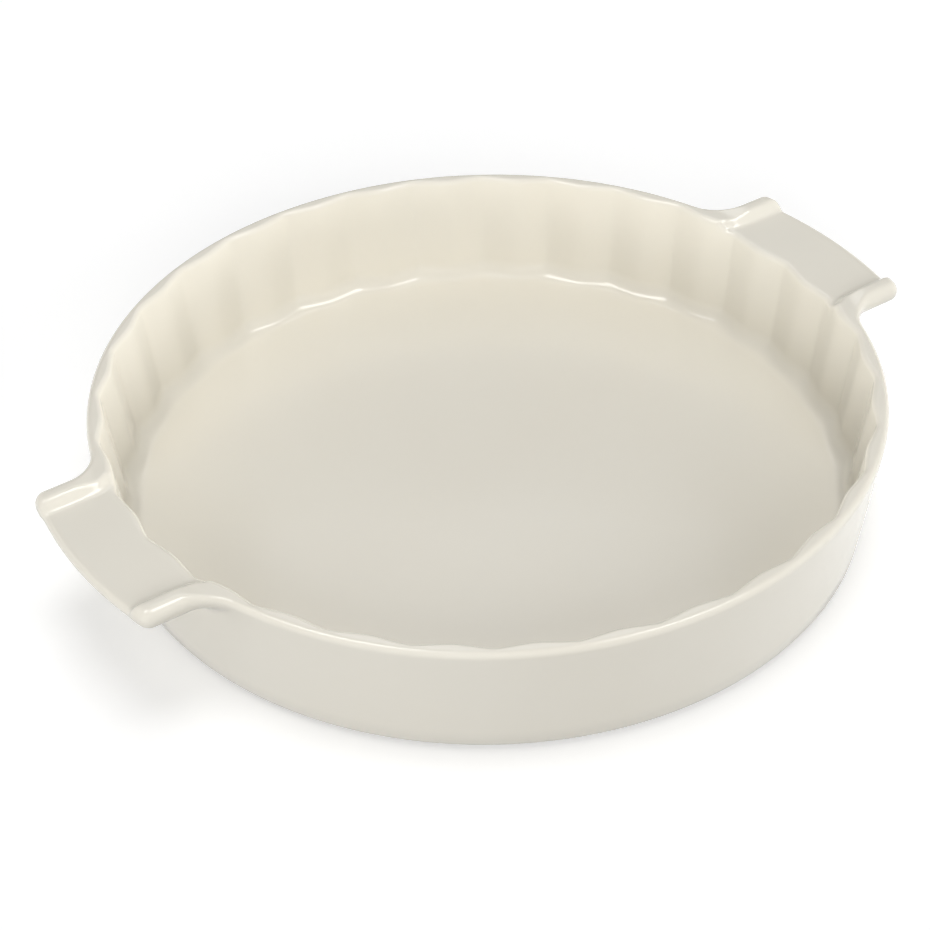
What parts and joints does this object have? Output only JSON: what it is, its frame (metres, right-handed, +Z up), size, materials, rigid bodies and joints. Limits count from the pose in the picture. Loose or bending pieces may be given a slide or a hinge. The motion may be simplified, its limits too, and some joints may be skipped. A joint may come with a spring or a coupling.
{
  "type": "pie dish",
  "caption": "Round stoneware pie dish in cream glaze with a fluted inner wall, a plain outer wall and a flat tab handle with raised side ridges on each side.",
  "frame": {"origin": "middle of the dish on the surface that it stands on", "axes": "+Z up out of the dish, +X along the two handles, +Y across them"},
  "size_m": [0.346, 0.3, 0.0516],
  "materials": {
    "cream_glaze": "glossy cream glaze over stoneware",
    "bare_clay": "dry unglazed stoneware"
  },
  "bodies": {
    "root": {"dish_floor": "cream_glaze", "fluted_wall": "cream_glaze", "right_handle": "cream_glaze", "left_handle": "cream_glaze", "foot_ring": "bare_clay"}
  },
  "joints": []
}
